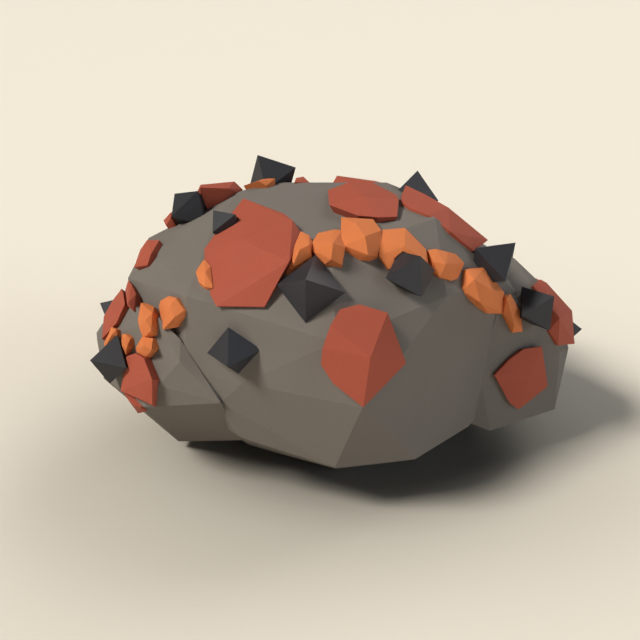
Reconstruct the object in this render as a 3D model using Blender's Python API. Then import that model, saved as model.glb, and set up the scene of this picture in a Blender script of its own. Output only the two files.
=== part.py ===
"""Iron ore: a faceted grey-brown boulder with a lobe at each end, set with plates of hematite, octahedra
of magnetite and beads of limonite.

Lengths in this file are millimetres and angles are degrees; the finished meshes are in metres. X runs along
the longest side, -Y is the face with the large plates, +Z is up, and the flat foot stands on Z = 0.
"""

import math
import random

import bmesh
import bpy
import numpy as np
from mathutils import Vector

MM = 0.001

# Fit between two touching solids, and how a mineral is rooted in the rock.
FIT_GAP = 0.3
ROOT_DEPTH = 6.0
ROOT_TAPER = 0.8

# The boulder's nominal ellipsoid: its middle over the foot and its half sizes.
BOULDER_CENTRE = (0.0, 0.0, 45.6)
BOULDER_HALF = (76.0, 66.0, 47.5)

# Facets closer than this to one plane are one facet, and crumbs thinner than this are merged.
FLAT_ANGLE = 0.1
MERGE = 0.002

# Colour (linear), roughness and metallic value of each mineral.
FINISHES = {
    "host_rock": ((0.160, 0.140, 0.118), 0.90, 0.0),
    "hematite": ((0.400, 0.085, 0.055), 0.75, 0.0),
    "limonite": ((0.720, 0.220, 0.070), 0.80, 0.0),
    "magnetite": ((0.030, 0.030, 0.034), 0.35, 0.2),
}

# The boulder's corners, ring by ring from the top down. Each ring starts at the viewed face.
BOULDER_CORNERS = {
    "crown": ((-2, -44, 86), (32, -21, 90), (25, 29, 87), (19, 22, 91), (-23, 26, 90), (-35, 17, 89),
              (-41, -5, 86), (9, 10, 92), (-24, 30, 87)),
    "brow": ((-47, -45, 72), (-1, -64, 65), (34, -42, 71), (57, -19, 67), (51, 0, 74), (60, 16, 66),
             (42, 49, 68), (1, 56, 71), (-40, 50, 68), (-64, 12, 72), (-68, 8, 74), (-74, -4, 63)),
    "waist": ((-63, -26, 52), (-49, -45, 47), (-37, -51, 38), (-30, -55, 47), (7, -67, 45), (76, -1, 46),
              (62, 38, 46), (25, 64, 46), (-22, 63, 46), (-62, 41, 46), (-76, 1, 46)),
    "hip": ((-31, -49, 24), (-1, -59, 19), (25, -54, 19), (46, -31, 18), (52, -21, 25), (57, -19, 25),
            (65, 17, 24), (39, 45, 20), (1, 59, 24), (-37, 46, 20), (-64, 19, 24), (-59, -16, 22)),
    "foot": ((-32, -14, 0), (0, -30, 0), (30, -14, 0), (24, 20, 0), (-20, 22, 0)),
}

# The lobe at the left end, from its front facets round to the back.
LEFT_LOBE_CORNERS = (
    (-50, -44, 57), (-50, -48, 51), (-58, -45, 41), (-64, -41, 31), (-37, -53, 39), (-39, -48, 43),
    (-51, -15, 3), (-58, -16, 3), (-32, -40, 18), (-27, -20, 6),
    (-74, -30, 31), (-81, -24, 33), (-83, -20, 46), (-84, -16, 47), (-76, -12, 58), (-57, -39, 62),
    (-72, 6, 20), (-78, 4, 40), (-60, 8, 52), (-50, 5, 10), (-66, -10, 12),
)

# The lobe at the right end, in the same order.
RIGHT_LOBE_CORNERS = (
    (49, -28, 36), (47, -29, 18), (54, -29, 15), (80, -15, 16), (80, -13, 38), (86, -3, 35),
    (55, -22, 60), (72, -14, 58), (82, 2, 51), (71, 2, 62), (65, 6, 67),
    (60, 26, 63), (50, 36, 30), (80, 22, 45), (82, 12, 24), (70, 28, 16), (60, 6, 5), (40, 10, 5),
)


def clear_scene():
    for obj in list(bpy.data.objects):
        bpy.data.objects.remove(obj, do_unlink=True)


def finish(kind):
    """The material of one mineral, made once and shared by all its pieces."""
    material = bpy.data.materials.get(kind)
    if material is None:
        colour, roughness, metallic = FINISHES[kind]
        material = bpy.data.materials.new(kind)
        material.use_nodes = True
        shader = material.node_tree.nodes["Principled BSDF"]
        shader.inputs["Base Color"].default_value = (*colour, 1.0)
        shader.inputs["Roughness"].default_value = roughness
        shader.inputs["Metallic"].default_value = metallic
        material.diffuse_color = (*colour, 1.0)
    return material


def hull(points):
    """The convex hull of some points as a bmesh with its faces pointing out."""
    bm = bmesh.new()
    for point in points:
        bm.verts.new(Vector(point))
    bmesh.ops.convex_hull(bm, input=bm.verts)
    inside = [vert for vert in bm.verts if not vert.link_faces]
    bmesh.ops.delete(bm, geom=inside, context="VERTS")
    bmesh.ops.recalc_face_normals(bm, faces=bm.faces)
    bm.normal_update()
    return bm


def face_planes(points):
    """Outward normals and distances of the hull's faces, as two arrays."""
    bm = hull(points)
    normals = np.array([face.normal[:] for face in bm.faces])
    distances = np.array([face.normal.dot(face.verts[0].co) for face in bm.faces])
    bm.free()
    return normals, distances


def grown(points, gap):
    """The hull's corners moved out until each face has moved out by the gap."""
    bm = hull(points)
    corners = []
    for vert in bm.verts:
        normals = np.array([face.normal[:] for face in vert.link_faces])
        offset, *_ = np.linalg.lstsq(normals, np.full(len(normals), gap), rcond=None)
        corners.append(np.array(vert.co) + offset)
    bm.free()
    return corners


BOULDER = [corner for ring in BOULDER_CORNERS.values() for corner in ring]
ROCK_HULLS = (BOULDER, LEFT_LOBE_CORNERS, RIGHT_LOBE_CORNERS)
ROCK_PLANES = [face_planes(points) for points in ROCK_HULLS]


def distance_to_rock(origin, direction):
    """How far a straight line runs from the origin until it first meets the rock, or None."""
    nearest = None
    for normals, distances in ROCK_PLANES:
        slope = normals @ direction
        ahead = distances - normals @ origin
        enter = max((a / s for a, s in zip(ahead, slope) if s < 0), default=0.0)
        leave = min((a / s for a, s in zip(ahead, slope) if s > 0), default=math.inf)
        if enter < leave and (nearest is None or enter < nearest):
            nearest = enter
    return nearest


def direction_of(azimuth, elevation):
    a = math.radians(azimuth)
    e = math.radians(elevation)
    return np.array((math.cos(e) * math.cos(a), math.cos(e) * math.sin(a), math.sin(e)))


def axes_of(facing):
    """Outward, right and up on the rock's face, for someone who looks straight at it."""
    outward = direction_of(*facing)
    right = np.cross((0.0, 0.0, 1.0), outward)
    right /= np.linalg.norm(right)
    return outward, right, np.cross(outward, right)


def slab(site, facing, rim, crown=(), root=ROOT_DEPTH):
    """Corners of a lump that sits on the rock at a site and looks along facing.

    Each corner is (clock angle, reach from the site, lift over the rock). The rim is repeated below the
    rock's surface, drawn in by the taper, so that the piece is rooted.
    """
    site = np.array(site, dtype=float)
    outward, right, up = axes_of(facing)
    above = 60.0

    def seated(angle, reach, lift):
        a = math.radians(angle)
        foot = site + reach * (math.cos(a) * right + math.sin(a) * up)
        drop = distance_to_rock(foot + above * outward, -outward)
        return foot + (above - drop + lift) * outward

    edge = [seated(*corner) for corner in rim]
    below = []
    for point in edge:
        height = (point - site) @ outward
        below.append(site + ROOT_TAPER * (point - site - height * outward) + (height - root) * outward)
    return edge + [seated(*corner) for corner in crown] + below


def octahedron(centre, reach, tip, spin):
    """Six corners at one reach from the centre: one at the tip's direction, four turned about it by spin."""
    centre = np.array(centre, dtype=float)
    outward, right, up = axes_of(tip)
    a = math.radians(spin)
    side = math.cos(a) * right + math.sin(a) * up
    other = np.cross(outward, side)
    return [centre + sign * reach * axis for axis in (outward, side, other) for sign in (1, -1)]


def rough_lump(azimuth, elevation, size, lift, seed, sides=7, root=ROOT_DEPTH):
    """A lump with an uneven rim, placed by its direction from the boulder's middle.

    Size is its length along the rock's horizontal and its width across it.
    """
    rng = random.Random(seed)
    ray = direction_of(azimuth, elevation)
    start = np.array(BOULDER_CENTRE) + 200.0 * ray
    site = start - distance_to_rock(start, -ray) * ray
    normal = (site - BOULDER_CENTRE) / np.square(BOULDER_HALF)
    normal /= np.linalg.norm(normal)
    facing = (math.degrees(math.atan2(normal[1], normal[0])), math.degrees(math.asin(normal[2])))
    turn = rng.uniform(0, 360 / sides)
    rim = []
    for i in range(sides):
        angle = turn + (i + rng.uniform(-0.25, 0.25)) * 360 / sides
        a = math.radians(angle)
        reach = math.hypot(size[0] / 2 * math.cos(a), size[1] / 2 * math.sin(a)) * rng.uniform(0.88, 1.08)
        rim.append((angle, reach, lift * rng.uniform(0.35, 0.7)))
    ridge = rng.uniform(0, 180)
    crown = [(ridge, size[0] * 0.12, lift), (ridge + 180, size[0] * 0.16, lift * 0.9)]
    return slab(site, facing, rim, crown, root)


# Plates of hematite seen on the front, from the crown down and from left to right.
HEMATITE = {
    "hematite_left_shoulder": slab(
        (-29, -31, 81), (235, 65),
        ((130, 37.5, 1.5), (90, 21.5, 2.5), (48, 18.5, 1), (356, 20, 1), (317, 25, 1.5), (281, 23.5, 3),
         (272, 20.5, 1), (213, 14, 1), (190, 16, 1), (165, 18, 1)),
        ((118, 0.5, 5), (349, 22, 5.5), (62, 18, 4))),
    "hematite_front": slab(
        (4, -62, 63), (285, 20),
        ((104, 11.5, 2.5), (74, 12.5, 3), (37, 14.5, 4), (337, 19, 1.5), (274, 18.5, 2), (237, 12.5, 3),
         (204, 11, 3.5), (177, 9.5, 3), (133, 9.5, 3)),
        ((316, 5, 6),)),
    "hematite_right_lobe": slab(
        (64, -23, 34), (295, 5),
        ((125, 8, 1.5), (82, 9.5, 2), (46, 12.5, 2.5), (331, 14, 2), (269, 13, 1.5), (246, 10.5, 1.5),
         (169, 11, 1.5)),
        ((0, 3, 3.5),)),
    "hematite_crown": slab(
        (10, -6, 93), (235, 85),
        ((141, 18.5, 2), (171, 18, 1.5), (241, 14, 3), (293, 17.5, 3), (314, 18.5, 2.5), (335, 18.5, 1.5),
         (15, 11.5, 2.5), (50, 11, 2), (115, 16.5, 2.5)),
        ((292, 5.5, 5),)),
    "hematite_right_ridge": slab(
        (33, -10, 89), (350, 65),
        ((30, 24, 3), (64, 13.5, 1.5), (90, 11, 1), (122, 9.5, 1), (166, 10.5, 1), (210, 13.5, 1.5),
         (244, 19, 1), (280, 21.5, 5)),
        ((296, 4, 5), (22, 13, 4))),
    "hematite_right_lobe_top": slab(
        (78, -7, 52), (325, 30),
        ((120, 13.5, 1.5), (91, 12, 2.5), (76, 10, 3), (338, 12, 5.5), (299, 18.5, 3.5), (244, 13, 1.5),
         (211, 10, 1), (122, 5, 1)),
        ((196, 7.5, 4),)),
    "hematite_left_crown": slab(
        (-43, 16, 90), (325, 85),
        ((115, 6.5, 12), (358, 9, 7.5), (339, 10.5, 2), (269, 5, 4), (176, 9, 10), (148, 8, 8),
         (177, 5.5, 2), (320, 7.5, 0.5)), root=8.0),
    "hematite_left_rear_chip": slab(
        (-60, 11, 80), (190, 65),
        ((241, 3, 4), (170, 5, 6.5), (134, 3.5, 3), (14, 3.5, 1), (320, 3.5, 1.5)),
        ((13, 5, 4),)),
    "hematite_left_brow": slab(
        (-66, -3, 73), (195, 45),
        ((158, 4.5, 2.5), (76, 5.5, 2), (338, 8, 1), (285, 8, 2), (197, 17, 6)),
        ((8, 7, 2.5),)),
    "hematite_left_notch": slab(
        (-71, -15, 61), (210, 45),
        ((160, 9, 1), (136, 4, 2), (47, 2, 1), (344, 12, 1), (324, 6, 1), (183, 7, 3.5)),
        ((20, 4, 3), (345, 9, 3))),
    "hematite_left_lobe_brow": slab(
        (-76, -16, 55), (205, 35),
        ((146, 11, 3), (122, 5.5, 1.5), (27, 7.5, 1), (349, 9, 1), (301, 11.5, 1), (215, 9.5, 3),
         (181, 12.5, 7)),
        ((41, 9, 2.5), (306, 11.5, 2))),
    "hematite_left_lobe": slab(
        (-65, -40, 41), (235, 5),
        ((140, 9, 2), (107, 8.5, 2), (65, 9.5, 3.5), (14, 9.5, 1), (308, 10.5, 1), (296, 7, 2),
         (217, 12, 2), (181, 7.5, 2)),
        ((21, 10, 4), (319, 10, 3))),
    "hematite_left_lobe_foot": slab(
        (-68, -37, 30), (235, -20),
        ((148, 6.5, 1.5), (143, 1.5, 1.5), (239, 12, 2), (351, 5.5, 1), (16, 4.5, 1)),
        ((39, 3, 2),)),
    "hematite_rear_crown": slab(
        (7, 28, 90), (5, 85),
        ((60, 7, 5), (92, 8, 0.5), (147, 5.5, 0), (244, 11, 0.5), (295, 10, 4)), root=8.0),
    "hematite_crown_chip": slab(
        (-13, 26, 91), (290, 65),
        ((112, 2.5, 4), (47, 2.5, 5), (333, 3.5, 0.5), (216, 4, 0.5)), root=7.0),
    "hematite_right_rear_chip": slab(
        (75, 6, 58), (355, 65),
        ((49, 4, 0.5), (333, 3.5, 2.5), (231, 3, 1), (160, 5.5, 0)), root=5.0),
}

# Limonite: single beads, and strings of beads that touch and have grown into one another.
LIMONITE = {
    "limonite_left_bead": [slab(
        (-42, -38, 77), (240, 70),
        ((126, 7.5, 1.5), (145, 5, 1.5), (181, 3.5, 1.5), (281, 4.5, 1.5), (306, 7.5, 1.5), (324, 8.5, 0.5),
         (98, 6.5, 0.5)),
        ((323, 2, 3),))],
    "limonite_vein": [
        slab((-12, -40, 85), (225, 65),
             ((132, 11.5, 1.5), (108, 7.5, 2), (70, 5, 1.5), (350, 6.5, 2), (298, 8.5, 3), (278, 9.5, 1),
              (216, 3, 1.5), (157, 4.5, 1.5)),
             ((5, 5.5, 4.5), (329, 5.5, 5.5))),
        slab((-3, -40, 87), (260, 65),
             ((122, 9, 1.5), (88, 8.5, 2.5), (73, 9.5, 2), (338, 6, 2.5), (304, 9.5, 2), (271, 8.5, 1.5),
              (221, 6, 2), (176, 5.5, 1.5)),
             ((294, 6.5, 7), (284, 9.5, 4.5))),
        slab((7, -36, 88), (295, 70),
             ((88, 15, 2.5), (45, 12, 2.5), (1, 7, 2), (306, 7, 2), (290, 8, 1), (226, 8, 1),
              (207, 8.5, 2), (168, 6.5, 2.5)),
             ((97, 4.5, 5), (248, 6, 7), (256, 10, 5))),
        slab((20, -38, 84), (295, 50),
             ((108, 10, 2), (63, 9.5, 2), (359, 8.5, 2.5), (307, 11, 2), (297, 10, 2), (214, 7.5, 1),
              (176, 8, 1.5), (147, 8, 2)),
             ((148, 0.5, 5.5), (208, 6, 2), (308, 7.5, 5.5))),
    ],
    "limonite_vein_bead": [slab(
        (34, -34, 79), (310, 40),
        ((123, 7, 1.5), (104, 5.5, 2), (79, 3, 1.5), (49, 4, 2), (16, 7, 1.5), (349, 9, 1.5),
         (294, 6.5, 1), (264, 6, 1), (219, 6, 1), (183, 6, 1)),
        ((198, 3.5, 4.5), (170, 6, 3.5)))],
    "limonite_vein_end": [
        slab((47, -29, 68), (320, 20),
             ((119, 9.5, 1.5), (108, 8.5, 2), (53, 8, 2), (339, 12.5, 1.5), (313, 15.5, 1), (289, 9.5, 1),
              (171, 9.5, 1), (161, 10.5, 1.5)),
             ((203, 7, 4.5), (185, 1.5, 5.5), (146, 9.5, 5))),
        slab((60, -21, 56), (300, 5),
             ((117, 8, 1.5), (92, 7, 2), (359, 3.5, 1), (301, 8, 1), (268, 6.5, 1), (166, 4.5, 1.5)),
             ((121, 8.5, 3.5), (238, 3, 3.5))),
    ],
    "limonite_round_bead": [slab(
        (-53, -41, 65), (220, 10),
        ((173, 9, 1.5), (127, 5.5, 1.5), (66, 6, 1.5), (22, 7.5, 1), (4, 6.5, 1), (301, 5, 1),
         (261, 6, 1), (186, 10, 1.5)),
        ((42, 5, 4), (314, 3, 4), (4, 6, 4)))],
    "limonite_left_string": [
        slab((-62, -33, 59), (220, 35),
             ((161, 11, 3), (153, 9.5, 1.5), (110, 5, 1.5), (7, 7.5, 1), (335, 8, 1), (291, 6.5, 1),
              (274, 3.5, 1.5), (217, 2.5, 1.5)),
             ((26, 7, 6.5), (348, 9.5, 4), (3, 6.5, 4.5))),
        slab((-62, -39, 51), (230, 10),
             ((120, 4.5, 1.5), (56, 6, 1.5), (20, 5.5, 1), (321, 3, 1), (263, 3.5, 1), (211, 5, 1),
              (188, 5, 1.5)),
             ((21, 6.5, 4), (47, 4, 4.5))),
    ],
    "limonite_left_lobe_bead": [slab(
        (-70, -33, 51), (230, 10),
        ((145, 3.5, 1.5), (105, 2.5, 1.5), (44, 2.5, 1.5), (349, 2.5, 1), (270, 5, 1), (218, 3.5, 1.5)),
        ((347, 3, 3.5), (38, 1.5, 3)))],
    "limonite_left_lobe_chip": [slab(
        (-76, -27, 51), (220, 20),
        ((129, 3, 2), (48, 3.5, 2), (3, 3.5, 1.5), (243, 6, 1.5), (229, 5.5, 1.5)),
        ((21, 2.5, 3),))],
    "limonite_crown_bead": [slab(
        (-28.5, 22, 92.5), (210, 75),
        ((258, 6, 2.5), (185, 4, 3), (119, 3.5, 3), (60, 6, 2.5), (6, 4.5, 1), (242, 5.5, 1)),
        ((333, 3.5, 3),))],
}

# Magnetite octahedra: middle, reach from the middle to a corner, direction of one corner, turn about it.
MAGNETITE = {
    "magnetite_crown": octahedron((-24, 31, 90), 10.7, (184, 61), 75),
    "magnetite_left_crown": octahedron((-52.5, 10, 84), 9.1, (142, 31), 87),
    "magnetite_left_small": octahedron((-37.5, -13, 85), 6.8, (150, 44), 84),
    "magnetite_front": octahedron((-8.5, -52.5, 77.5), 10.6, (261, 35), -3),
    "magnetite_front_left": octahedron((-32, -54, 57.5), 8.7, (262, -8), 8),
    "magnetite_vein": octahedron((22, -45, 79.5), 8.8, (297, 55), 89),
    "magnetite_ridge": octahedron((29, 20, 84.5), 11.5, (72, 64), 62),
    "magnetite_right_brow": octahedron((52, -20, 74), 10.2, (0, 46), 22),
    "magnetite_right_lobe": octahedron((68.5, -18, 57), 8.9, (317, 44), 0),
    "magnetite_right_rear": octahedron((87, 8, 38), 6.6, (357, 0), 29),
    "magnetite_left_lobe": octahedron((-75, -31.5, 44), 8.7, (220, 15), 0),
    "magnetite_left_rear": octahedron((-81, 3.5, 47), 7.0, (169, 24), 73),
}

# The back carries the same three minerals: direction from the middle, length and width, lift, seed.
REAR_PLATES = {
    "hematite_rear_left": (122, 26, (32, 24), 4.0, 3),
    "hematite_rear_right": (62, 4, (26, 30), 4.0, 5),
    "hematite_rear_low": (92, -8, (30, 18), 3.5, 8),
    "hematite_rear_shoulder": (150, 16, (20, 16), 3.5, 13),
    "hematite_left_end": (160, -10, (18, 22), 3.5, 17),
    "hematite_right_end": (24, 6, (18, 22), 3.5, 19),
}
REAR_BEADS = {
    "limonite_rear_bead": (108, 4, (11, 10), 4.0, 23),
    "limonite_rear_left_bead": (142, 2, (12, 10), 4.0, 29),
    "limonite_rear_right_bead": (44, 24, (11, 9), 3.5, 31),
}
REAR_CRYSTALS = {
    "magnetite_rear_middle": (92, 12, 9.6, 34),
    "magnetite_rear_left": (140, 31, 8.4, 12),
    "magnetite_rear_right": (40, 12, 7.6, 50),
    "magnetite_rear_foot": (122, -12, 7.0, 66),
}

# A second string of beads runs over the back, from the crown towards the left end.
REAR_STRING_START = (50, 35)
REAR_STRING_STEP = (9.0, -2.0)
REAR_STRING_BEADS = 6


def surface_point(azimuth, elevation, lift=0.0):
    ray = direction_of(azimuth, elevation)
    start = np.array(BOULDER_CENTRE) + 200.0 * ray
    return start + (lift - distance_to_rock(start, -ray)) * ray


def add_rear_pieces():
    for name, (azimuth, elevation, size, lift, seed) in REAR_PLATES.items():
        HEMATITE[name] = rough_lump(azimuth, elevation, size, lift, seed)
    for name, (azimuth, elevation, size, lift, seed) in REAR_BEADS.items():
        LIMONITE[name] = [rough_lump(azimuth, elevation, size, lift, seed, sides=8, root=4.0)]
    beads = []
    for i in range(REAR_STRING_BEADS):
        azimuth = REAR_STRING_START[0] + i * REAR_STRING_STEP[0]
        elevation = REAR_STRING_START[1] + i * REAR_STRING_STEP[1]
        size = (13.0, 11.0 - 2.0 * (i % 2))
        beads.append(rough_lump(azimuth, elevation, size, 4.5, 40 + i, sides=8, root=4.0))
    LIMONITE["limonite_rear_vein"] = beads
    for name, (azimuth, elevation, reach, spin) in REAR_CRYSTALS.items():
        centre = surface_point(azimuth, elevation, lift=1.5)
        MAGNETITE[name] = octahedron(centre, reach, (azimuth + 20, elevation + 15), spin)


def mesh_object(name, bm, kind):
    mesh = bpy.data.meshes.new(name)
    bm.to_mesh(mesh)
    bm.free()
    mesh.materials.append(finish(kind))
    obj = bpy.data.objects.new(name, mesh)
    bpy.context.scene.collection.objects.link(obj)
    return obj


def cutter_object(name, points):
    obj = mesh_object(name, hull(points), "host_rock")
    obj.hide_render = True
    obj.display_type = "WIRE"
    return obj


def combine(obj, others, operation):
    """Applies one exact Boolean after another to the object, and tidies what is left."""
    for other in others:
        boolean = obj.modifiers.new(operation.title(), "BOOLEAN")
        boolean.operation = operation
        boolean.solver = "EXACT"
        boolean.object = other
    evaluated = obj.evaluated_get(bpy.context.evaluated_depsgraph_get())
    mesh = bpy.data.meshes.new_from_object(evaluated)
    obj.modifiers.clear()
    old = obj.data
    obj.data = mesh
    bpy.data.meshes.remove(old)


def bodies_of(bm):
    """The separate bodies of a mesh, as lists of faces, the largest first."""
    left = set(bm.faces)
    bodies = []
    while left:
        body = [left.pop()]
        for face in body:
            for edge in face.edges:
                for neighbour in edge.link_faces:
                    if neighbour in left:
                        left.remove(neighbour)
                        body.append(neighbour)
        bodies.append(body)
    return sorted(bodies, key=lambda body: -sum(face.calc_area() for face in body))


def tidy(obj, shift):
    """Merges slivers, drops crumbs a cut left loose, moves the piece to its place and turns mm to metres."""
    bm = bmesh.new()
    bm.from_mesh(obj.data)
    bmesh.ops.remove_doubles(bm, verts=bm.verts, dist=MERGE)
    bmesh.ops.dissolve_degenerate(bm, dist=MERGE, edges=bm.edges)
    for body in bodies_of(bm)[1:]:
        bmesh.ops.delete(bm, geom=body, context="FACES")
    bmesh.ops.dissolve_limit(bm, angle_limit=math.radians(FLAT_ANGLE), verts=bm.verts, edges=bm.edges)
    bmesh.ops.triangulate(bm, faces=bm.faces)
    bmesh.ops.recalc_face_normals(bm, faces=bm.faces)
    for vert in bm.verts:
        vert.co = (vert.co + shift) * MM
    bm.to_mesh(obj.data)
    bm.free()


def boxes_meet(a, b):
    a = np.array(a)
    b = np.array(b)
    return bool(np.all(a.min(axis=0) < b.max(axis=0)) and np.all(b.min(axis=0) < a.max(axis=0)))


def build():
    """Crystals stay whole; plates make room for crystals, beads for both, and the rock for all of them."""
    pieces = [(name, "magnetite", [points]) for name, points in MAGNETITE.items()]
    pieces += [(name, "hematite", [points]) for name, points in HEMATITE.items()]
    pieces += [(name, "limonite", hulls) for name, hulls in LIMONITE.items()]
    pieces.append(("host_rock", "host_rock", list(ROCK_HULLS)))

    earlier = []
    objects = []
    for name, kind, hulls in pieces:
        obj = mesh_object(name, hull(hulls[0]), kind)
        joined = [cutter_object(name + "_more", points) for points in hulls[1:]]
        if joined:
            combine(obj, joined, "UNION")
        room = [cutter for points, cutter in earlier if any(boxes_meet(points, own) for own in hulls)]
        if room:
            combine(obj, room, "DIFFERENCE")
        for other in joined:
            bpy.data.objects.remove(other, do_unlink=True)
        for points in hulls:
            wide = grown(points, FIT_GAP)
            earlier.append((wide, cutter_object(name + "_room", wide)))
        objects.append(obj)

    for _, cutter in earlier:
        bpy.data.objects.remove(cutter, do_unlink=True)
    corners = np.array([vert.co[:] for obj in objects for vert in obj.data.vertices])
    low = corners.min(axis=0)
    high = corners.max(axis=0)
    shift = Vector((-(low[0] + high[0]) / 2, -(low[1] + high[1]) / 2, -low[2]))
    for obj in objects:
        tidy(obj, shift)


clear_scene()
add_rear_pieces()
build()
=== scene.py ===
# %% [markdown]
# # Iron ore, dressed
# The real object is a boulder of ore. Flat plates of red hematite and beads of orange limonite are grown
# into its skin, and black octahedra of magnetite stand out of it. The solids are loaded first, and everything
# made here is placed by them.

# %% Load the solids
import math

import bmesh
import bpy
from mathutils import Matrix, Vector


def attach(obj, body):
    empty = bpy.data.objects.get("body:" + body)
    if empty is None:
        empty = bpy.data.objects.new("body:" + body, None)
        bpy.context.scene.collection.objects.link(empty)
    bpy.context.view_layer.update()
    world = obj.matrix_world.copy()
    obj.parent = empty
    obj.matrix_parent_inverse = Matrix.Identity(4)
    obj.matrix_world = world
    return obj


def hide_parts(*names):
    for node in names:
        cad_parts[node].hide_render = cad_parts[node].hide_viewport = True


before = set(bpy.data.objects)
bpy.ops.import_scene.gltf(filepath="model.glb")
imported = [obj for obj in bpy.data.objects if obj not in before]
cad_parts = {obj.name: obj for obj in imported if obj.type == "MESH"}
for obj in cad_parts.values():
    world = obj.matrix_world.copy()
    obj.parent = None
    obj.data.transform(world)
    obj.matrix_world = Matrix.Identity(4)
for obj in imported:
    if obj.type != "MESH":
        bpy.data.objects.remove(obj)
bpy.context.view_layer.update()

# %% Measures
MM = 0.001
EDGE_WEAR = 0.25 * MM
WELD = 0.01 * MM
# The corners of the rock below are counted in millimetres from the middle of the boulder's foot. One
# crystal, whose middle is known in those terms, tells where that point stands among the solids.
CROWN_CRYSTAL = Vector((-24.0, 31.0, 90.0))
crown_corners = [vert.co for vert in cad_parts["magnetite_crown"].data.vertices]
crown_middle = sum(crown_corners, Vector()) / len(crown_corners) / MM
BOULDER_PLACE = crown_middle - CROWN_CRYSTAL
print("boulder stands at", [round(v, 2) for v in BOULDER_PLACE])

# %% [markdown]
# ## Finishes
# Each mineral gets one procedural material. They are matte and nearly even, so the facets read by how they
# face the light. A slow noise varies the colour a little from one side of a piece to the other, and a fine
# noise gives it grain. Both read Object coordinates, which are metres here, so a noise scale of 1000 gives
# grains of 1 mm. The two are added, and the middle of their sum is stretched over the whole drift of colour.

# %% Values that all the minerals share
SLOW_SCALE = 45.0
SLOW_DETAIL = 2.0
GRAIN_DETAIL = 4.0
DRIFT_FROM = 0.7
DRIFT_TO = 1.3
ROUGHNESS_SPREAD = 0.05
GRAIN_STRENGTH = 0.3
print("slow noise", SLOW_SCALE, "per metre")


# %% A helper for a mineral's material
def mineral(name, colour, drift, roughness, grain_scale, grain_depth, specular=0.3, metallic=0.0):
    """A matte mineral: the colour drifts by a share of itself, slowly and with the grain."""
    material = bpy.data.materials.new(name)
    material.use_nodes = True
    tree = material.node_tree
    shader = tree.nodes["Principled BSDF"]
    shader.inputs["Specular IOR Level"].default_value = specular
    shader.inputs["Metallic"].default_value = metallic
    place = tree.nodes.new("ShaderNodeTexCoord")

    slow = tree.nodes.new("ShaderNodeTexNoise")
    slow.inputs["Scale"].default_value = SLOW_SCALE
    slow.inputs["Detail"].default_value = SLOW_DETAIL
    tree.links.new(place.outputs["Object"], slow.inputs["Vector"])
    grain = tree.nodes.new("ShaderNodeTexNoise")
    grain.inputs["Scale"].default_value = grain_scale
    grain.inputs["Detail"].default_value = GRAIN_DETAIL
    tree.links.new(place.outputs["Object"], grain.inputs["Vector"])

    both = tree.nodes.new("ShaderNodeMath")
    both.operation = "ADD"
    tree.links.new(slow.outputs["Fac"], both.inputs[0])
    tree.links.new(grain.outputs["Fac"], both.inputs[1])
    tint = tree.nodes.new("ShaderNodeMapRange")
    tint.inputs["From Min"].default_value = DRIFT_FROM
    tint.inputs["From Max"].default_value = DRIFT_TO
    tint.inputs["To Min"].default_value = 0.0
    tint.inputs["To Max"].default_value = 1.0
    tree.links.new(both.outputs["Value"], tint.inputs["Value"])
    mix = tree.nodes.new("ShaderNodeMix")
    mix.data_type = "RGBA"
    mix.inputs["A"].default_value = (*[c * (1 - drift) for c in colour], 1.0)
    mix.inputs["B"].default_value = (*[c * (1 + drift) for c in colour], 1.0)
    tree.links.new(tint.outputs["Result"], mix.inputs["Factor"])
    tree.links.new(mix.outputs["Result"], shader.inputs["Base Color"])

    rough = tree.nodes.new("ShaderNodeMapRange")
    rough.inputs["To Min"].default_value = roughness - ROUGHNESS_SPREAD
    rough.inputs["To Max"].default_value = roughness + ROUGHNESS_SPREAD
    tree.links.new(grain.outputs["Fac"], rough.inputs["Value"])
    tree.links.new(rough.outputs["Result"], shader.inputs["Roughness"])

    bump = tree.nodes.new("ShaderNodeBump")
    bump.inputs["Strength"].default_value = GRAIN_STRENGTH
    bump.inputs["Distance"].default_value = grain_depth
    tree.links.new(grain.outputs["Fac"], bump.inputs["Height"])
    tree.links.new(bump.outputs["Normal"], shader.inputs["Normal"])
    return material


# %% The four minerals
host_rock = mineral("dull grey rock", (0.160, 0.140, 0.120), 0.03, 0.90, 900.0, 0.02 * MM)
hematite = mineral("red hematite", (0.352, 0.074, 0.040), 0.03, 0.80, 1200.0, 0.02 * MM)
limonite = mineral("orange limonite", (0.600, 0.174, 0.052), 0.03, 0.80, 1200.0, 0.02 * MM)
magnetite = mineral("black magnetite", (0.026, 0.026, 0.030), 0.05, 0.50, 1500.0, 0.005 * MM, specular=0.35)
FINISH_OF = {"host_rock": host_rock, "hematite": hematite, "limonite": limonite, "magnetite": magnetite}
print("finishes", [material.name for material in FINISH_OF.values()])

# %% [markdown]
# ## The minerals
# The plates, beads and crystals already have their true facets as solids. Their finish changes, and their
# shapes stay as they are, but for one plate that is laid a little higher further down.

# %% Finish the plates, beads and crystals
for name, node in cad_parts.items():
    kind = next(kind for kind in FINISH_OF if name.startswith(kind))
    for slot in node.material_slots:
        slot.material = FINISH_OF[kind]
print("finished", len(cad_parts), "solids")

# %% [markdown]
# ## The rock's skin
# The rock's solid has a socket cut for every mineral grain, with a hair of room around it. In the real
# rock the grains are grown in and no room shows, so the skin is made here once more without sockets: the
# boulder and its two lobes are each the tightest faceted shell around a few corners, and a Geometry Nodes
# tree wraps the three sets of corners and joins the shells into one. The corners could be joined into faces
# by hand, but a shell that is wrapped stays convex and closed whatever corner is moved.

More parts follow.
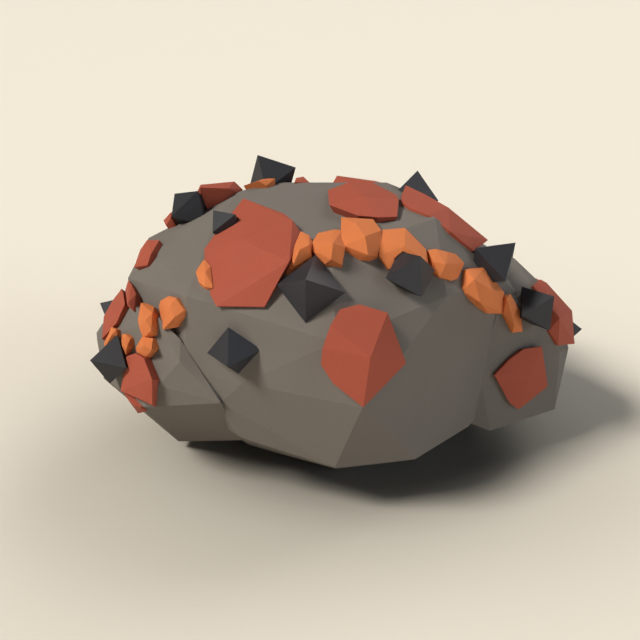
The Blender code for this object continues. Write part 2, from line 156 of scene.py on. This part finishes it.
# %% Corners of the boulder and its lobes
BOULDER = (
    (-2, -44, 86), (32, -21, 90), (25, 29, 87), (19, 22, 91), (-23, 26, 90), (-35, 17, 89),
    (-41, -5, 86), (9, 10, 92), (-24, 30, 87),
    (-47, -45, 72), (-1, -64, 65), (34, -42, 71), (57, -19, 67), (51, 0, 74), (60, 16, 66), (42, 49, 68),
    (1, 56, 71), (-40, 50, 68), (-64, 12, 72), (-68, 8, 74), (-74, -4, 63),
    (-63, -26, 52), (-49, -45, 47), (-37, -51, 38), (-30, -55, 47), (7, -67, 45), (76, -1, 46), (62, 38, 46),
    (25, 64, 46), (-22, 63, 46), (-62, 41, 46), (-76, 1, 46),
    (-31, -49, 24), (-1, -59, 19), (25, -54, 19), (46, -31, 18), (52, -21, 25), (57, -19, 25), (65, 17, 24),
    (39, 45, 20), (1, 59, 24), (-37, 46, 20), (-64, 19, 24), (-59, -16, 22),
    (-32, -14, 0), (0, -30, 0), (30, -14, 0), (24, 20, 0), (-20, 22, 0),
)
LEFT_LOBE = (
    (-50, -44, 57), (-50, -48, 51), (-58, -45, 41), (-64, -41, 31), (-37, -53, 39), (-39, -48, 43),
    (-51, -15, 3), (-58, -16, 3), (-32, -40, 18), (-27, -20, 6), (-74, -30, 31), (-81, -24, 33),
    (-83, -20, 46), (-84, -16, 47), (-76, -12, 58), (-57, -39, 62), (-72, 6, 20), (-78, 4, 40),
    (-60, 8, 52), (-50, 5, 10), (-66, -10, 12),
)
RIGHT_LOBE = (
    (49, -28, 36), (47, -29, 18), (54, -29, 15), (80, -15, 16), (80, -13, 38), (86, -3, 35), (55, -22, 60),
    (72, -14, 58), (82, 2, 51), (71, 2, 62), (65, 6, 67), (60, 26, 63), (50, 36, 30), (80, 22, 45),
    (82, 12, 24), (70, 28, 16), (60, 6, 5), (40, 10, 5),
)
rock_mesh = bpy.data.meshes.new("rock_skin")
corners = []
part_numbers = []
for number, group in enumerate((BOULDER, LEFT_LOBE, RIGHT_LOBE)):
    for corner in group:
        corners.append((Vector(corner) + BOULDER_PLACE) * MM)
        part_numbers.append(number)
rock_mesh.from_pydata(corners, [], [])
part_of_rock = rock_mesh.attributes.new("part_of_rock", "INT", "POINT")
for index, number in enumerate(part_numbers):
    part_of_rock.data[index].value = number
rock = bpy.data.objects.new("rock_skin", rock_mesh)
bpy.context.scene.collection.objects.link(rock)
print("corners", len(corners))


# %% The tree that wraps each set of corners and joins the shells
def shell_tree():
    """Each numbered set of corners becomes a convex shell, and the shells become one."""
    tree = bpy.data.node_groups.new("wrapped_rock", "GeometryNodeTree")
    tree.interface.new_socket("Geometry", in_out="INPUT", socket_type="NodeSocketGeometry")
    merge = tree.interface.new_socket("Merge Distance", in_out="INPUT", socket_type="NodeSocketFloat")
    merge.default_value = WELD
    finish = tree.interface.new_socket("Finish", in_out="INPUT", socket_type="NodeSocketMaterial")
    finish.default_value = host_rock
    tree.interface.new_socket("Geometry", in_out="OUTPUT", socket_type="NodeSocketGeometry")
    start = tree.nodes.new("NodeGroupInput")
    end = tree.nodes.new("NodeGroupOutput")
    part = tree.nodes.new("GeometryNodeInputNamedAttribute")
    part.data_type = "INT"
    part.inputs["Name"].default_value = "part_of_rock"
    union = tree.nodes.new("GeometryNodeMeshBoolean")
    union.operation = "UNION"
    for number in range(3):
        same = tree.nodes.new("FunctionNodeCompare")
        same.data_type = "INT"
        same.operation = "EQUAL"
        second = next(socket for socket in same.inputs if socket.name == "B" and socket.type == "INT")
        second.default_value = number
        first = next(socket for socket in same.inputs if socket.name == "A" and socket.type == "INT")
        value = next(socket for socket in part.outputs if socket.name == "Attribute" and socket.enabled)
        tree.links.new(value, first)
        pick = tree.nodes.new("GeometryNodeSeparateGeometry")
        tree.links.new(start.outputs["Geometry"], pick.inputs["Geometry"])
        tree.links.new(same.outputs["Result"], pick.inputs["Selection"])
        wrap = tree.nodes.new("GeometryNodeConvexHull")
        tree.links.new(pick.outputs["Selection"], wrap.inputs["Geometry"])
        tree.links.new(wrap.outputs["Convex Hull"], union.inputs["Mesh 2"])
    weld = tree.nodes.new("GeometryNodeMergeByDistance")
    tree.links.new(union.outputs["Mesh"], weld.inputs["Geometry"])
    tree.links.new(start.outputs["Merge Distance"], weld.inputs["Distance"])
    realize = tree.nodes.new("GeometryNodeRealizeInstances")
    tree.links.new(weld.outputs["Geometry"], realize.inputs["Geometry"])
    dress = tree.nodes.new("GeometryNodeSetMaterial")
    tree.links.new(realize.outputs["Geometry"], dress.inputs["Geometry"])
    tree.links.new(start.outputs["Finish"], dress.inputs["Material"])
    tree.links.new(dress.outputs["Geometry"], end.inputs["Geometry"])
    return tree


# %% Wrap the rock and wear its edges
FLAT_WITHIN = 0.2
WORN_FROM = 6
wrapping = rock.modifiers.new("wrap", "NODES")
wrapping.node_group = shell_tree()
evaluated = rock.evaluated_get(bpy.context.evaluated_depsgraph_get())
skin = bpy.data.meshes.new_from_object(evaluated)
rock.modifiers.clear()
rock.data = skin
bm = bmesh.new()
bm.from_mesh(skin)
bmesh.ops.dissolve_limit(bm, angle_limit=math.radians(FLAT_WITHIN), verts=bm.verts, edges=bm.edges)
bmesh.ops.recalc_face_normals(bm, faces=bm.faces)
if "part_of_rock" in bm.verts.layers.int:
    bm.verts.layers.int.remove(bm.verts.layers.int["part_of_rock"])
bm.to_mesh(skin)
print("facets", len(bm.faces), "closed", all(edge.is_manifold for edge in bm.edges))
bm.free()
worn = rock.modifiers.new("worn edges", "BEVEL")
worn.width = EDGE_WEAR
worn.segments = 2
worn.limit_method = "ANGLE"
worn.angle_limit = math.radians(WORN_FROM)
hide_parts("host_rock")
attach(rock, "root")

# %% [markdown]
# ## The plate on the brow of the left lobe
# This plate lies across the blunt edge where two facets of the lobe meet, and a skin without sockets would
# come through it as a grey wedge. On the real ore the plate covers the edge. So a copy of the solid, lifted a
# little along the plate's own outward direction, takes the solid's place.

# %% Lift the brow plate over the edge
PLATE_LIFT = 0.6 * MM
brow_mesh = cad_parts["hematite_left_lobe_brow"].data.copy()
bm = bmesh.new()
bm.from_mesh(brow_mesh)
bmesh.ops.remove_doubles(bm, verts=bm.verts, dist=0.1 * WELD)
outward = max(bm.faces, key=lambda face: face.calc_area()).normal.copy()
bmesh.ops.transform(bm, matrix=Matrix.Translation(outward * PLATE_LIFT), verts=bm.verts)
bm.to_mesh(brow_mesh)
print("brow plate", len(bm.faces), "faces, closed", all(edge.is_manifold for edge in bm.edges))
bm.free()
brow_mesh.materials.clear()
brow_mesh.materials.append(hematite)
brow_plate = bpy.data.objects.new("brow_plate", brow_mesh)
bpy.context.scene.collection.objects.link(brow_plate)
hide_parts("hematite_left_lobe_brow")
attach(brow_plate, "root")

# %% [markdown]
# ## Floor
# The rock lies on a cream floor with shade and shadow painted into it. Close to a heavy dark thing a pale
# floor looks deeper in tone, since the thing takes away light from all round, and the key light's shadow
# falls to its right. The floor's material paints that shade in with one rule: the distance from the rock's
# middle, moved a little to the right towards the shadow, in units of the rock's own half length and half
# width, sets how much the cream is darkened. A rule of distance needs no image and stays soft at any size.
# Each step below is a place along the ramp, whose end lies five units out, and the share of the full cream
# there.

# %% Floor
REACH = 6.0
floor_corners = [(-REACH, -REACH, 0), (REACH, -REACH, 0), (REACH, REACH, 0), (-REACH, REACH, 0)]
floor_mesh = bpy.data.meshes.new("floor")
floor_mesh.from_pydata(floor_corners, [], [(0, 1, 2, 3)])
floor = bpy.data.objects.new("floor", floor_mesh)
bpy.context.scene.collection.objects.link(floor)
print("floor", 2 * REACH, "m wide")

# %% The floor's cream, darkened near the rock by painted shade and shadow
CREAM = (0.80, 0.74, 0.63)
HALF_LENGTH = 80 * MM
HALF_WIDTH = 62 * MM
# The painted shade is centred a little right of the rock's middle, towards the shadow.
PAINTED_SHADOW_SHIFT = (-0.12, 0.05, 0.0)
RAMP_END = 5.0
cream = bpy.data.materials.new("cream floor with painted shade")
cream.use_nodes = True
tree = cream.node_tree
shader = tree.nodes["Principled BSDF"]
shader.inputs["Roughness"].default_value = 0.95
shader.inputs["Specular IOR Level"].default_value = 0.1
place = tree.nodes.new("ShaderNodeTexCoord")
units = tree.nodes.new("ShaderNodeMapping")
units.inputs["Location"].default_value = PAINTED_SHADOW_SHIFT
units.inputs["Scale"].default_value = (1 / HALF_LENGTH, 1 / HALF_WIDTH, 1.0)
tree.links.new(place.outputs["Object"], units.inputs["Vector"])
far = tree.nodes.new("ShaderNodeVectorMath")
far.operation = "LENGTH"
tree.links.new(units.outputs["Vector"], far.inputs[0])
painted_shade_ramp = tree.nodes.new("ShaderNodeValToRGB")
painted_shade_ramp.color_ramp.interpolation = "B_SPLINE"
# Painted shade and shadow: a place along the ramp and the share of the cream left there.
PAINTED_SHADE_STEPS = (
    (0.12, 0.22), (0.15, 0.38), (0.18, 0.54), (0.22, 0.67), (0.27, 0.74),
    (0.33, 0.84), (0.40, 0.91), (0.55, 0.97), (0.80, 0.99), (1.0, 1.0),
)
while len(painted_shade_ramp.color_ramp.elements) < len(PAINTED_SHADE_STEPS):
    painted_shade_ramp.color_ramp.elements.new(1.0)
for element, (where, value) in zip(painted_shade_ramp.color_ramp.elements, PAINTED_SHADE_STEPS):
    element.position = where
    element.color = (*[c * value for c in CREAM], 1.0)
shrink = tree.nodes.new("ShaderNodeMath")
shrink.operation = "MULTIPLY"
shrink.inputs[1].default_value = 1 / RAMP_END
tree.links.new(far.outputs["Value"], shrink.inputs[0])
tree.links.new(shrink.outputs["Value"], painted_shade_ramp.inputs["Fac"])
tree.links.new(painted_shade_ramp.outputs["Color"], shader.inputs["Base Color"])
floor_mesh.materials.append(cream)
print("floor finish", cream.name, "in", len(PAINTED_SHADE_STEPS), "steps")

# %% [markdown]
# ## Backdrop
# Seen from low down, the floor ends at a horizon. A studio closes it with a pale sheet that stands all round.
# A wall of quads in a ring would shade the rock and light it from all sides, so this one glows evenly in the
# floor's far tone and is seen by the camera alone: it casts no shadow and throws no light.

# %% Backdrop
WALL_SIDES = 64
WALL_RADIUS = 5.8
WALL_HEIGHT = 6.0
wall_corners = []
for side in range(WALL_SIDES):
    turn = math.tau * side / WALL_SIDES
    x = WALL_RADIUS * math.cos(turn)
    y = WALL_RADIUS * math.sin(turn)
    wall_corners += [(x, y, 0.0), (x, y, WALL_HEIGHT)]
panels = []
for side in range(WALL_SIDES):
    low_here = 2 * side
    low_next = 2 * ((side + 1) % WALL_SIDES)
    panels.append((low_next, low_here, low_here + 1, low_next + 1))
wall_mesh = bpy.data.meshes.new("backdrop")
wall_mesh.from_pydata(wall_corners, [], panels)
wall = bpy.data.objects.new("backdrop", wall_mesh)
bpy.context.scene.collection.objects.link(wall)
print("backdrop", len(panels), "panels")

# %% The backdrop's even glow
WALL_GLOW = (0.895, 0.825, 0.690)
glow = bpy.data.materials.new("pale backdrop")
glow.use_nodes = True
glow_shader = glow.node_tree.nodes["Principled BSDF"]
glow_shader.inputs["Base Color"].default_value = (0.0, 0.0, 0.0, 1.0)
glow_shader.inputs["Specular IOR Level"].default_value = 0.0
glow_shader.inputs["Emission Color"].default_value = (*WALL_GLOW, 1.0)
glow_shader.inputs["Emission Strength"].default_value = 1.0
wall_mesh.materials.append(glow)
wall.visible_shadow = False
wall.visible_diffuse = False
wall.visible_glossy = False
wall.visible_transmission = False
print("backdrop finish", glow.name)

# %% [markdown]
# ## Light
# A key light from the high left front throws the shadow to the right. Three wide weak lights stand in for
# the bright walls of a studio: one behind at the right, a cool low one at the front right, which lifts the
# facets that the key can't reach, and a faint low one in front. The sky itself is kept nearly dark so that
# the shadow under the rock stays deep.

# %% The sky
SKY = (0.95, 0.95, 1.0)
SKY_STRENGTH = 0.02
world = bpy.data.worlds.new("studio")
world.use_nodes = True
world.node_tree.nodes["Background"].inputs["Color"].default_value = (*SKY, 1.0)
world.node_tree.nodes["Background"].inputs["Strength"].default_value = SKY_STRENGTH
bpy.context.scene.world = world
print("sky strength", SKY_STRENGTH)


# %% A helper for a far light
def sun(name, azimuth, elevation, strength, softness, colour=(1.0, 1.0, 1.0)):
    """A far light at an azimuth (from +X towards +Y) and an elevation; softness is its width, in degrees."""
    light = bpy.data.lights.new(name, "SUN")
    light.energy = strength
    light.angle = math.radians(softness)
    light.color = colour
    lamp = bpy.data.objects.new(name, light)
    a = math.radians(azimuth)
    e = math.radians(elevation)
    towards = Vector((math.cos(e) * math.cos(a), math.cos(e) * math.sin(a), math.sin(e)))
    lamp.rotation_euler = (-towards).to_track_quat("-Z", "Y").to_euler()
    bpy.context.scene.collection.objects.link(lamp)
    return lamp


# %% The four lights
sun("key light", 205, 46, 3.42, 16, (1.03, 1.00, 0.95))
sun("rear light", 45, 40, 1.15, 40)
sun("low light", 330, 14, 0.82, 34, (0.85, 0.98, 1.12))
sun("front light", 262, 14, 0.28, 40)

# %% [markdown]
# ## Camera
# The camera looks down a little on the middle of the specimen, from somewhat less than two lengths of the
# rock away. Near things show more perspective than far ones, so the distance matters as much as the lens.

# %% Camera
LOOKS_AT = Vector((-5.7, 0.0, 45.0))
LOOKS_DOWN = 23
DISTANCE = 327 * MM
LENS = 50.0
SENSOR = 36.0
NEAREST = 10 * MM
camera_data = bpy.data.cameras.new("camera")
camera_data.lens = LENS
camera_data.sensor_width = SENSOR
camera_data.clip_start = NEAREST
camera = bpy.data.objects.new("camera", camera_data)
bpy.context.scene.collection.objects.link(camera)
aim = (LOOKS_AT + BOULDER_PLACE) * MM
tilt = math.radians(LOOKS_DOWN)
camera.location = aim + Vector((0.0, -math.cos(tilt), math.sin(tilt))) * DISTANCE
camera.rotation_euler = (aim - camera.location).to_track_quat("-Z", "Y").to_euler()
bpy.context.scene.camera = camera
bpy.context.scene.view_settings.view_transform = "Standard"
print("camera at", [round(v, 3) for v in camera.location])
